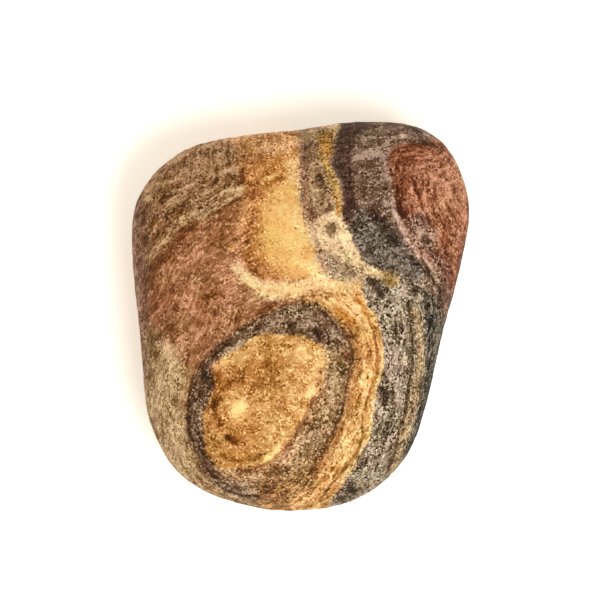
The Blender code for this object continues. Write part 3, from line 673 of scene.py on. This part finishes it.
    (-0.20, 0.3, ((4.5, -26.5), (3.3, -28.0))),
    (0.20, 0.6, ((6.9, 3.3), (8.1, 1.8), (9.0, 0.0))),
    (-0.26, 0.5, ((1.3, 3.3), (2.8, 3.6), (3.8, 3.0))),
    (0.16, 0.5, ((4.5, 2.4), (5.7, 2.1))),
    (-0.22, 0.4, ((6.8, -12.8), (7.8, -11.9))),
    (-0.20, 0.3, ((8.0, -16.1), (7.4, -17.1))),
    (-0.18, 0.3, ((6.9, -17.8), (7.8, -18.4))),
    (0.20, 0.4, ((9.9, -0.6), (10.5, -2.7))),
    (-0.16, 0.4, ((9.3, -5.4), (10.2, -5.1))),
    (0.22, 0.5, ((10.6, -8.9), (10.6, -10.1))),
    (0.24, 0.4, ((6.8, -3.6), (7.1, -4.2))),
    (-0.22, 0.4, ((8.1, -1.5), (8.6, -2.5))),
    (0.30, 0.5, ((7.5, -19.9), (7.5, -21.0))),
    (0.24, 0.4, ((8.7, -16.7), (9.1, -16.1))),
    (-0.22, 0.4, ((7.8, -15.0), (8.1, -15.6))),
    (0.20, 0.5, ((4.5, -24.7), (6.3, -24.1))),
    # the olive bed
    (0.20, 0.6, ((-17.5, -4.3), (-18.1, -6.4))),
    (0.16, 0.5, ((-19.1, -10.0), (-18.2, -11.3))),
    (-0.16, 0.7, ((-19.3, -17.4), (-18.2, -16.7))),
    (0.20, 0.4, ((-17.2, -15.5), (-16.7, -16.1))),
    (-0.42, 0.2, ((-20.3, -12.5), (-19.6, -13.8), (-18.8, -15.2))),
    (-0.24, 0.3, ((-20.0, -6.8), (-19.6, -8.3))),
    (-0.26, 0.7, ((-18.7, -12.0), (-18.1, -13.8))),
    (0.24, 0.9, ((-19.9, -5.1), (-19.0, -8.6))),
    (-0.16, 0.5, ((-22.2, -2.4), (-21.6, -5.1), (-21.0, -6.5))),
    (0.12, 0.7, ((-17.8, -16.1), (-18.4, -18.1))),
    (-0.26, 0.7, ((-22.2, -3.3), (-22.2, -7.3), (-21.8, -11.6))),
    (-0.30, 0.7, ((-21.3, -5.4), (-20.9, -3.9), (-20.2, -2.8))),
    (0.20, 0.4, ((-19.9, -19.9), (-18.7, -21.6), (-16.6, -23.8))),
    (-0.18, 0.2, ((-16.3, -24.2), (-13.9, -26.2), (-10.0, -27.8))),
    (0.16, 0.3, ((-17.8, -19.3), (-15.7, -22.6), (-13.0, -25.3), (-9.4, -27.1), (-5.6, -28.0))),
    (-0.20, 0.3, ((-16.9, -19.0), (-15.1, -22.0), (-12.4, -24.7), (-9.1, -26.5))),
    (-0.18, 0.3, ((-15.4, -23.8), (-12.7, -26.0), (-9.1, -27.7), (-5.6, -28.4))),
    (0.14, 0.3, ((-4.4, -28.3), (-1.4, -28.1), (1.0, -27.5))),
    (-0.16, 0.6, ((-22.2, -15.5), (-21.3, -17.8))),
    (0.16, 0.9, ((-20.4, -10.1), (-20.7, -12.5), (-19.0, -17.0))),
    (0.12, 0.4, ((-21.0, -16.7), (-19.3, -19.3), (-17.2, -21.7))),
    (0.18, 0.4, ((-20.3, -9.2), (-19.7, -11.3), (-19.4, -12.3))),
)

STAINS = (
    # stain, its three tones, and its marks
    (
        "haematite",
        "#502613 #7c432a #b0734c",
        (
            (1.00, 0.4, ((3.0, -7.4), (3.0, -8.9), (2.8, -10.3))),
            (1.00, 0.6, ((6.6, -4.8), (7.1, -6.2))),
            (0.90, 0.4, ((6.5, -1.8), (7.1, -3.3))),
            (0.80, 0.3, ((7.8, -7.4), (7.4, -9.2))),
            (0.90, 0.4, ((-14.4, -6.5), (-14.8, -8.0))),
            (0.80, 0.5, ((14.1, 22.0), (14.4, 19.3), (14.6, 16.4))),
            (0.70, 0.4, ((16.9, 19.9), (17.6, 17.5), (18.5, 15.5), (19.7, 13.4))),
            (0.70, 0.4, ((18.8, 18.4), (19.9, 16.1), (20.4, 14.0))),
            (0.90, 0.5, ((21.2, 11.9), (22.2, 8.0), (22.7, 4.8))),
            (0.80, 0.4, ((-5.6, 1.8), (-3.8, 2.1))),
            (0.80, 0.4, ((0.5, 16.4), (0.7, 15.2))),
            (0.80, 0.4, ((-16.4, -5.4), (-16.9, -6.8))),
            (1.00, 0.3, ((-11.1, -17.8), (-10.2, -18.4), (-9.6, -18.9))),
            (0.90, 0.3, ((-12.7, -12.8), (-12.6, -14.1), (-12.1, -15.5))),
            (0.90, 0.4, ((-2.0, -20.2), (-1.1, -19.0))),
            (0.90, 0.4, ((-9.1, -23.6), (-8.0, -23.1), (-6.5, -23.2), (-5.6, -22.6))),
        ),
    ),
    (
        "goethite",
        "#8f5817 #c78635 #e6a95c",
        (
            (1.30, 0.7, ((5.7, 0.9), (6.6, -0.1), (7.8, -0.9))),
            (1.20, 0.5, ((8.4, 2.7), (9.1, 1.6), (9.9, 0.3))),
            (1.00, 0.7, ((3.8, 26.5), (3.8, 25.0), (4.2, 24.1))),
            (1.00, 0.4, ((5.6, 16.7), (5.7, 15.2))),
            (1.00, 0.3, ((5.7, 13.1), (6.2, 12.3))),
            (0.80, 0.6, ((8.7, -11.0), (8.6, -12.5), (8.1, -14.0))),
            (0.70, 0.4, ((11.5, -2.1), (12.0, -5.1), (11.8, -7.7))),
            (0.60, 0.5, ((10.5, -13.2), (10.2, -16.2), (9.3, -18.4))),
            (0.70, 0.6, ((-2.9, 23.5), (-3.8, 22.0))),
            (0.50, 1.3, ((-10.2, 14.0), (-9.9, 10.4))),
            (0.70, 0.7, ((-11.2, -20.2), (-8.3, -20.8))),
        ),
    ),
    (
        "manganese",
        "#402b1e #5b4434 #8a705e",
        (
            (0.90, 0.6, ((10.2, 5.4), (11.1, 4.3), (12.0, 3.3))),
            (0.90, 0.6, ((-1.4, -0.9), (-1.0, -2.4))),
            (0.90, 0.6, ((2.2, -2.1), (2.8, -3.3))),
            (1.00, 0.6, ((-14.2, -7.7), (-13.8, -10.4))),
            (0.90, 0.4, ((18.5, 11.6), (19.3, 9.8))),
            (1.00, 0.7, ((12.1, -10.7), (12.6, -12.5))),
            (0.90, 0.4, ((16.9, 4.3), (17.2, 3.6))),
            (0.80, 0.5, ((9.0, -22.2), (9.7, -21.4))),
            (0.90, 0.5, ((5.4, -27.4), (6.8, -26.5), (7.5, -25.6))),
            (0.80, 0.5, ((0.7, 24.7), (1.9, 25.6))),
            (0.90, 0.4, ((2.6, 20.8), (3.2, 20.1))),
            (0.70, 0.4, ((-16.6, -12.5), (-16.7, -15.5), (-16.3, -17.8))),
            (0.70, 0.4, ((16.4, 25.6), (18.5, 25.7), (20.6, 25.1))),
        ),
    ),
    (
        "clay",
        "#997752 #c09d77 #dec297",
        (
            (0.90, 0.4, ((-11.2, 18.4), (-9.7, 18.6), (-8.4, 19.0))),
            (0.70, 0.4, ((-15.4, 15.2), (-13.3, 16.2))),
            (0.80, 0.4, ((3.6, -5.4), (3.8, -7.4), (3.6, -9.5))),
            (0.70, 0.4, ((14.1, 26.2), (15.5, 26.9))),
        ),
    ),
)

STEPS_A_SPAN = 5


def smooth_line(points, closed):
    """The points of a smooth curve through a bed's points, ready for measuring from."""
    points = np.array(points)
    count = len(points)
    spans = count if closed else count - 1
    line = []
    for span in range(spans):
        neighbours = [span - 1, span, span + 1, span + 2]
        if closed:
            before, start, end, after = points[np.array(neighbours) % count]
        else:
            before, start, end, after = points[np.clip(neighbours, 0, count - 1)]
        for t in np.arange(STEPS_A_SPAN) / STEPS_A_SPAN:
            line.append(
                start
                + 0.5 * t * (end - before)
                + 0.5 * t**2 * (2 * before - 5 * start + 4 * end - after)
                + 0.5 * t**3 * (3 * start - before - 3 * end + after)
            )
    line.append(points[0] if closed else points[-1])
    return np.array(line)


def depth_inside(points, place, closed=True):
    """How far inside an outline each place lies, below 0 outside it. From a line, 0 or less all over."""
    line = smooth_line(points, closed)
    nearest = np.full(len(place), 1e9)
    inside = np.zeros(len(place), bool)
    for start, end in zip(line[:-1], line[1:]):
        run = end - start
        offset = place - start
        share = np.clip(offset @ run / max(run @ run, 1e-12), 0, 1)
        nearest = np.minimum(nearest, ((offset - share[:, None] * run) ** 2).sum(1))
        if start[1] != end[1]:
            crosses = (start[1] > place[:, 1]) != (end[1] > place[:, 1])
            inside ^= crosses & (place[:, 0] < start[0] + offset[:, 1] * run[0] / run[1])
    nearest = np.sqrt(nearest)
    return np.where(inside, nearest, -nearest) if closed else -nearest


def marked(marks, place):
    """The sum of some marks at each place."""
    total = np.zeros(len(place))
    for strength, half_width, line in marks:
        low = np.min(line, axis=0) - 3 * half_width
        high = np.max(line, axis=0) + 3 * half_width
        near = np.flatnonzero(((place > low) & (place < high)).all(1))
        reach = depth_inside(line, place[near], closed=False) / half_width
        total[near] += strength * np.exp(-(reach**2))
    return total


def smooth_step(depths, width):
    t = np.clip(depths / width * 0.5 + 0.5, 0, 1)
    return t * t * (3 - 2 * t)


def corners_of(mesh):
    """A mesh's corners in millimetres."""
    corners = np.empty(len(mesh.vertices) * 3, np.float32)
    mesh.vertices.foreach_get("co", corners)
    return corners.reshape(-1, 3).astype(float) / MM


# The mesh is cut finer along the thin seams and cracks of the upper face, so that they come out sharp.
WIDEST = 15.0  # height of the stone's widest level, in millimetres
THIN = 0.31  # seams with a smaller half width than this are cut
FINE_REACH = 0.45  # how far beyond such a seam's edge

corners = corners_of(stone.data)
near_seam = np.zeros(len(corners), bool)
for seam, line, half_width, softness, raggedness, tones in SEAMS:
    if half_width < THIN:
        near_seam |= depth_inside(line, corners[:, :2], closed=False) > -half_width - FINE_REACH
near_seam &= corners[:, 2] > WIDEST
bpy.ops.object.mode_set(mode="EDIT")
bpy.ops.mesh.select_mode(type="VERT")
bpy.ops.mesh.select_all(action="DESELECT")
bpy.ops.object.mode_set(mode="OBJECT")
stone.data.vertices.foreach_set("select", near_seam)
bpy.ops.object.mode_set(mode="EDIT")
bpy.ops.mesh.subdivide(number_cuts=2)
bpy.ops.mesh.select_all(action="SELECT")
bpy.ops.mesh.quads_convert_to_tris()
bpy.ops.object.mode_set(mode="OBJECT")

# The beds dip: below the widest level they run on sideways, and the dome narrows.
DIP = Vector((0.55, -0.35))  # sideways run for each millimetre down
DIP_WAVER = 0.5  # how much of the depth the beds waver by
WAVER_SIZE = 14.0
DIP_ONSET = 2.0  # the depth over which the dip sets in
RAGGED = 0.12  # how far every edge strays, and over what length
RAGGED_SIZE = 1.3
SEED = 7

noise.seed_set(SEED)
corners = corners_of(stone.data)
sunk = np.maximum(0.0, WIDEST - corners[:, 2])
sunk = sunk**2 / (sunk + DIP_ONSET)
waver = np.array([noise.noise_vector(Vector(corner) / WAVER_SIZE) for corner in corners])[:, :2]
stray = np.array([noise.noise_vector(Vector(corner) / RAGGED_SIZE) for corner in corners])[:, :2]
place = corners[:, :2] + sunk[:, None] * (np.array(DIP) + DIP_WAVER * waver) + 2 * RAGGED * stray

# How strongly the ground between the beds is peppered and layered, and how softly that gives way to a bed's.
GROUND_PEPPER = 0.85
GROUND_LAYERING = 0.8
BED_FADE = 0.2

painted = {}
peppered = np.full(len(place), GROUND_PEPPER)
layered = np.full(len(place), GROUND_LAYERING)
for bed, outline, narrowing, softness, raggedness, pepper, layering, tones in BEDS:
    painted[bed] = depth_inside(outline, place) - narrowing * sunk
    cover = smooth_step(painted[bed], softness + BED_FADE)
    peppered += (pepper - peppered) * cover
    layered += (layering - layered) * cover
for seam, line, half_width, softness, raggedness, tones in SEAMS:
    painted[seam] = depth_inside(line, place, closed=False) + half_width
painted["peppered"] = peppered
painted["layered"] = layered

# Which edge the fine layers follow in each part of the stone.
TAUPE_END = -4.0  # the ground's layers follow the taupe bed down to this level, and the ring beyond it

layer_depth = painted["ring"]
outside = (painted["ring"] < 0) & (painted["gold_band"] < 0)
for part, edge in (
    (outside & (place[:, 1] > TAUPE_END) & (place[:, 0] < 0), "taupe_bed"),
    (painted["gold_lens"] > 0, "gold_lens"),
    (painted["pale_tongue"] > 0, "pale_tongue"),
    (painted["grey_flank"] > 0, "groove"),
    (painted["rust_lobe"] > 0, "rust_lobe"),
):
    layer_depth = np.where(part, painted[edge], layer_depth)
painted["layer_depth"] = layer_depth
painted["shade"] = marked(MARKS, place)
for stain, tones, marks in STAINS:
    painted[stain] = marked(marks, place)

for name, values in painted.items():
    stone.data.attributes.new(name, "FLOAT", "POINT").data.foreach_set("value", values.astype(np.float32))

# The river wears soft beds a little deeper than hard ones, and opens the cracks.
RELIEF = (
    # bed, how far its edge is spread, how far it stands proud, in millimetres
    ("eye", 1.2, 0.10),
    ("ring", 1.0, -0.10),
    ("gold_band", 0.9, 0.10),
    ("cream_seam", 0.7, 0.08),
    ("dark_bed", 0.9, 0.03),
    ("rust_lobe", 1.5, 0.13),
    ("pale_vein", 0.4, 0.10),
    ("crack", 0.35, -0.35),
    ("groove", 0.45, -0.28),
    ("eye_crease", 0.35, -0.15),
)
LEAST_WEIGHT = 0.01

for bed, spread, height in RELIEF:
    group = stone.vertex_groups.new(name=bed + " relief")
    weights = smooth_step(painted[bed], spread)
    for corner in np.flatnonzero(weights > LEAST_WEIGHT):
        group.add([int(corner)], float(weights[corner]), "REPLACE")
    worn = stone.modifiers.new(bed + " relief", "DISPLACE")
    worn.vertex_group = group.name
    worn.mid_level = 0.0
    worn.strength = height * MM
    bpy.ops.object.modifier_apply(modifier=worn.name)
    stone.vertex_groups.clear()

PECKS = ((1.6, 0.16), (0.7, 0.10))  # the size and the depth of the pits, in millimetres

for size, height in PECKS:
    tumbling = bpy.data.textures.new("tumbling", "CLOUDS")
    tumbling.noise_scale = size * MM
    tumbling.noise_depth = 1
    pecked = stone.modifiers.new("pecked by the tumbling", "DISPLACE")
    pecked.texture = tumbling
    pecked.texture_coords = "LOCAL"
    pecked.strength = height * MM
    bpy.ops.object.modifier_apply(modifier=pecked.name)


# The finish is dry, river-worn sandstone: matt quartz grains of about 0.3 mm, peppered with iron oxide. Each
# bed is stained by its own mix of goethite, haematite and clay.
def linear(hex_colour):
    """An sRGB hex colour as the linear values that Blender's nodes take."""
    shares = [int(hex_colour[i : i + 2], 16) / 255 for i in (1, 3, 5)]
    return [s / 12.92 if s < 0.04045 else ((s + 0.055) / 1.055) ** 2.4 for s in shares] + [1.0]


sandstone = bpy.data.materials.new("river worn sandstone")
sandstone.use_nodes = True
tree = sandstone.node_tree
tree.nodes.clear()


def add_node(kind, settings, inputs):
    """Adds a node with its settings. Each input is a value or another node's output."""
    node = tree.nodes.new("ShaderNode" + kind)
    for name, value in settings.items():
        setattr(node, name, value)
    for name, value in inputs.items():
        if isinstance(value, bpy.types.NodeSocket):
            tree.links.new(value, node.inputs[name])
        else:
            node.inputs[name].default_value = value
    return node


def add_math(operation, *terms):
    """Adds a step of arithmetic. Each term is a value or another node's output."""
    return add_node("Math", {"operation": operation}, dict(enumerate(terms))).outputs[0]


def add_rise(value, start, end):
    """Adds a smooth rise from 0 to 1 while a value goes from start to end."""
    inputs = {"Value": value, "From Min": start, "From Max": end}
    return add_node("MapRange", {"interpolation_type": "SMOOTHSTEP"}, inputs).outputs["Result"]


read = {name: add_node("Attribute", {"attribute_name": name}, {}).outputs["Fac"] for name in painted}
where = add_node("TexCoord", {}, {}).outputs["Object"]
where_mm = add_node("VectorMath", {"operation": "SCALE"}, {0: where, "Scale": 1 / MM}).outputs[0]

# The sizes of the textures, in millimetres. The grains are medium sand.
GRAIN = 0.30
CLUSTER = 1.1
EDGE_TEETH = 0.45
MOTTLE = 1.4
CLOUD = 4.0

grain_blur, cluster, teeth, mottle, cloud = (
    add_node("TexNoise", {}, {"Vector": where_mm, "Scale": 1 / size, "Detail": 1.0})
    for size in (GRAIN, CLUSTER, EDGE_TEETH, MOTTLE, CLOUD)
)
grain_cells = add_node("TexVoronoi", {}, {"Vector": where_mm, "Scale": 1 / GRAIN})
grain_tone = add_node("SeparateColor", {}, {0: grain_cells.outputs["Color"]}).outputs[0]

# Thin layers along the beds' edges: noise that is stretched to a length by how far in the edge is.
LAYERS = ((0.55, 5.0), (0.28, 1.3))  # thickness and length

layers = []
for thickness, length in LAYERS:
    across = add_math("MULTIPLY", read["layer_depth"], length / thickness)
    inputs = {"Vector": where_mm, "W": across, "Scale": 1 / length, "Detail": 1.0}
    layers.append(add_node("TexNoise", {"noise_dimensions": "4D"}, inputs).outputs["Fac"])

# Dark specks of iron oxide, and pale quartz grains painted bright as glints of light, each in a few of the
# cells.
SPECK = 0.62
SPECK_EDGE = (0.42, 0.25)  # how far from a cell's middle a speck starts to show, and is full
DARK_CHANCE = 0.17
GLINT_CHANCE = 0.045
DARK_SPECK = -0.26
GLINT_BRIGHTENING = 0.34

speck_cells = add_node("TexVoronoi", {}, {"Vector": where_mm, "Scale": 1 / SPECK})
speck_shares = add_node("SeparateColor", {}, {0: speck_cells.outputs["Color"]}).outputs
speck = add_rise(speck_cells.outputs["Distance"], *SPECK_EDGE)
dark_share = add_math("MULTIPLY_ADD", read["peppered"], DARK_CHANCE, speck_shares[0])
is_dark = add_math("GREATER_THAN", dark_share, 1.0)
# the painted glints
is_glint = add_math("GREATER_THAN", speck_shares[1], 1 - GLINT_CHANCE)
speck_tone = add_math("MULTIPLY", is_glint, GLINT_BRIGHTENING)
speck_tone = add_math("MULTIPLY_ADD", is_dark, DARK_SPECK, speck_tone)
specks = add_math("MULTIPLY", speck, speck_tone)


def add_textures(start, parts):
    """Adds textures to a start: each is centred on its mean, and moves the tone by its share of the scale
    for one standard deviation."""
    total = start
    for texture, deviation, share in parts:
        centred = add_math("SUBTRACT", texture, 0.5)
        total = add_math("MULTIPLY_ADD", centred, share / deviation, total)
    return total


# The iron that darkens the grains has gathered in small clusters, with cleaner sand between them.
NOISE_DEVIATION = 0.089
LAYER_DEVIATION = 0.078
CELL_TONE_DEVIATION = 0.265
CELL_DISTANCE_DEVIATION = 0.17
LEAST_GATHERED = 0.2

grain = add_textures(
    specks,
    (
        (grain_tone, CELL_TONE_DEVIATION, 0.09),
        (grain_cells.outputs["Distance"], CELL_DISTANCE_DEVIATION, -0.05),
        (grain_blur.outputs["Fac"], NOISE_DEVIATION, 0.09),
    ),
)
gathered = add_textures(1.0, ((cluster.outputs["Fac"], NOISE_DEVIATION, 0.32),))
gathered = add_math("MAXIMUM", gathered, LEAST_GATHERED)
pepper = add_math("MULTIPLY", read["peppered"], gathered)
layering = add_textures(0.0, ((layers[0], LAYER_DEVIATION, 0.07), (layers[1], LAYER_DEVIATION, 0.09)))

# The tone is a point's place on a bed's scale: 0 is the dark end, 1 the bright end.
tone = add_math("ADD", read["shade"], 0.5)
for texture, strength in ((grain, pepper), (layering, read["layered"])):
    tone = add_math("MULTIPLY_ADD", texture, strength, tone)
tone = add_textures(
    tone,
    (
        (mottle.outputs["Fac"], NOISE_DEVIATION, 0.05),
        (cloud.outputs["Fac"], NOISE_DEVIATION, 0.025),
    ),
)

TONE_PLACES = (0.19, 0.50, 0.81)  # of the three listed tones, on the scale
DARK_END = 0.50  # times the darkest tone, at the start of the scale
BRIGHT_END = 1.30  # times the lightest tone, at its end
BASE_TONES = "#7c4820 #a87048 #e0a880"


def add_scale(tones):
    """Adds a bed's scale of tones, dark to light, read by the stone's tone."""
    scale = add_node("ValToRGB", {}, {0: tone})
    stops = scale.color_ramp.elements
    colours = [linear(hex_colour)[:3] for hex_colour in tones.split()]
    colours = [[DARK_END * v for v in colours[0]], *colours, [BRIGHT_END * v for v in colours[-1]]]
    while len(stops) < len(colours):
        stops.new(0.5)
    for stop, position, colour in zip(stops, (0.0, *TONE_PLACES, 1.0), colours):
        stop.position = position
        stop.color = [*colour, 1.0]
    return scale.outputs["Color"]


def lay_over(colour, depth, raggedness, start, end, tones):
    """Lays tones over the colour so far, where a depth with ragged teeth rises from start to end."""
    cover = add_rise(add_math("MULTIPLY_ADD", teeth.outputs["Fac"], raggedness, depth), start, end)
    return add_node("Mix", {"data_type": "RGBA"}, {0: cover, 6: colour, 7: add_scale(tones)}).outputs[2]


STAIN_TEETH = 1.6  # how ragged a stain's edge is
STAIN_EDGE = (1.1, 1.9)  # the strength at which a stain starts to show, and is full

colour = add_scale(BASE_TONES)
for bed, outline, size, softness, raggedness, *others, tones in BEDS + SEAMS:
    middle = 0.5 * raggedness
    colour = lay_over(colour, read[bed], raggedness, middle - softness, middle + softness, tones)
for stain, tones, marks in STAINS:
    colour = lay_over(colour, read[stain], STAIN_TEETH, *STAIN_EDGE, tones)

# Grain by grain, and cloud by cloud, the stain is a little redder, yellower or greyer.
GRAIN_TINT = 0.04
CLOUD_TINT = 0.20

for tint, strength in ((grain_cells, GRAIN_TINT), (cloud, CLOUD_TINT)):
    shift = add_node(
        "VectorMath",
        {"operation": "MULTIPLY_ADD"},
        {0: tint.outputs["Color"], 1: (strength,) * 3, 2: (1 - 0.5 * strength,) * 3},
    ).outputs[0]
    colour = add_node("VectorMath", {"operation": "MULTIPLY"}, {0: colour, 1: shift}).outputs[0]

EXPOSURE = 1.32  # every tone is divided by this, to suit the strength of the light
BLUR_HEIGHT = 0.6  # how much the blurred grain adds to the height of the single grains
GRAIN_HEIGHT = 0.05  # in millimetres
BUMP_STRENGTH = 0.6

lit = add_node("VectorMath", {"operation": "SCALE"}, {0: colour, "Scale": 1 / EXPOSURE}).outputs[0]
grain_height = add_math("MULTIPLY_ADD", grain_blur.outputs["Fac"], BLUR_HEIGHT, grain_tone)
bump = add_node(
    "Bump", {}, {"Height": grain_height, "Strength": BUMP_STRENGTH, "Distance": GRAIN_HEIGHT * MM}
)
finish = add_node(
    "BsdfPrincipled",
    {},
    {
        "Base Color": lit,
        "Normal": bump.outputs["Normal"],
        "IOR": 1.54,
        "Roughness": 0.75,
        "Specular IOR Level": 0.06,  # dust in the pores leaves almost no shine
    },
)
add_node("OutputMaterial", {}, {"Surface": finish.outputs[0]})

stone.data.materials.append(sandstone)
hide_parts("pebble")
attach(stone, "root")

# The floor: a plain, pale tabletop.
bpy.ops.object.select_all(action="DESELECT")
bpy.ops.mesh.primitive_plane_add(size=3.0, location=(0, 0, 0))
floor = bpy.context.active_object
floor.name = "tabletop"
white_paper = bpy.data.materials.new("white paper")
white_paper.use_nodes = True
paper = white_paper.node_tree.nodes["Principled BSDF"]
paper.inputs["Base Color"].default_value = linear("#fdfdfd")
paper.inputs["Roughness"].default_value = 0.9
paper.inputs["Specular IOR Level"].default_value = 0.0
paper.inputs["Emission Color"].default_value = linear("#fff6df")
paper.inputs["Emission Strength"].default_value = 0.36
floor.data.materials.append(white_paper)

# The light: a bright white room, and a large soft lamp over the stone's lower right.
room = bpy.data.worlds.new("white room")
room.use_nodes = True
room.node_tree.nodes["Background"].inputs["Color"].default_value = linear("#fff8ef")
room.node_tree.nodes["Background"].inputs["Strength"].default_value = 0.72
bpy.context.scene.world = room

lamp = bpy.data.lights.new("soft lamp", "AREA")
lamp.shape = "DISK"
lamp.size = 0.50
lamp.energy = 8.0
lamp.color = linear("#fdfcfc")[:3]
lamp_stand = bpy.data.objects.new("soft lamp", lamp)
lamp_stand.location = (0.28, -0.28, 1.0)
lamp_stand.rotation_euler = (-lamp_stand.location).to_track_quat("-Z", "Y").to_euler()
bpy.context.scene.collection.objects.link(lamp_stand)

# The camera: straight above, far off, so that the outline is the stone's widest level.
CAMERA_HEIGHT = 4.0
FIELD = 0.08923  # what the picture's side spans at the widest level
AIM = (0.0, 0.00238)
camera = bpy.data.objects.new("camera", bpy.data.cameras.new("camera"))
camera.location = (AIM[0], AIM[1], CAMERA_HEIGHT)
camera.data.sensor_width = 36
camera.data.lens = 36 * (CAMERA_HEIGHT - WIDEST * MM) / FIELD
bpy.context.scene.collection.objects.link(camera)
bpy.context.scene.camera = camera
bpy.context.scene.view_settings.view_transform = "Standard"
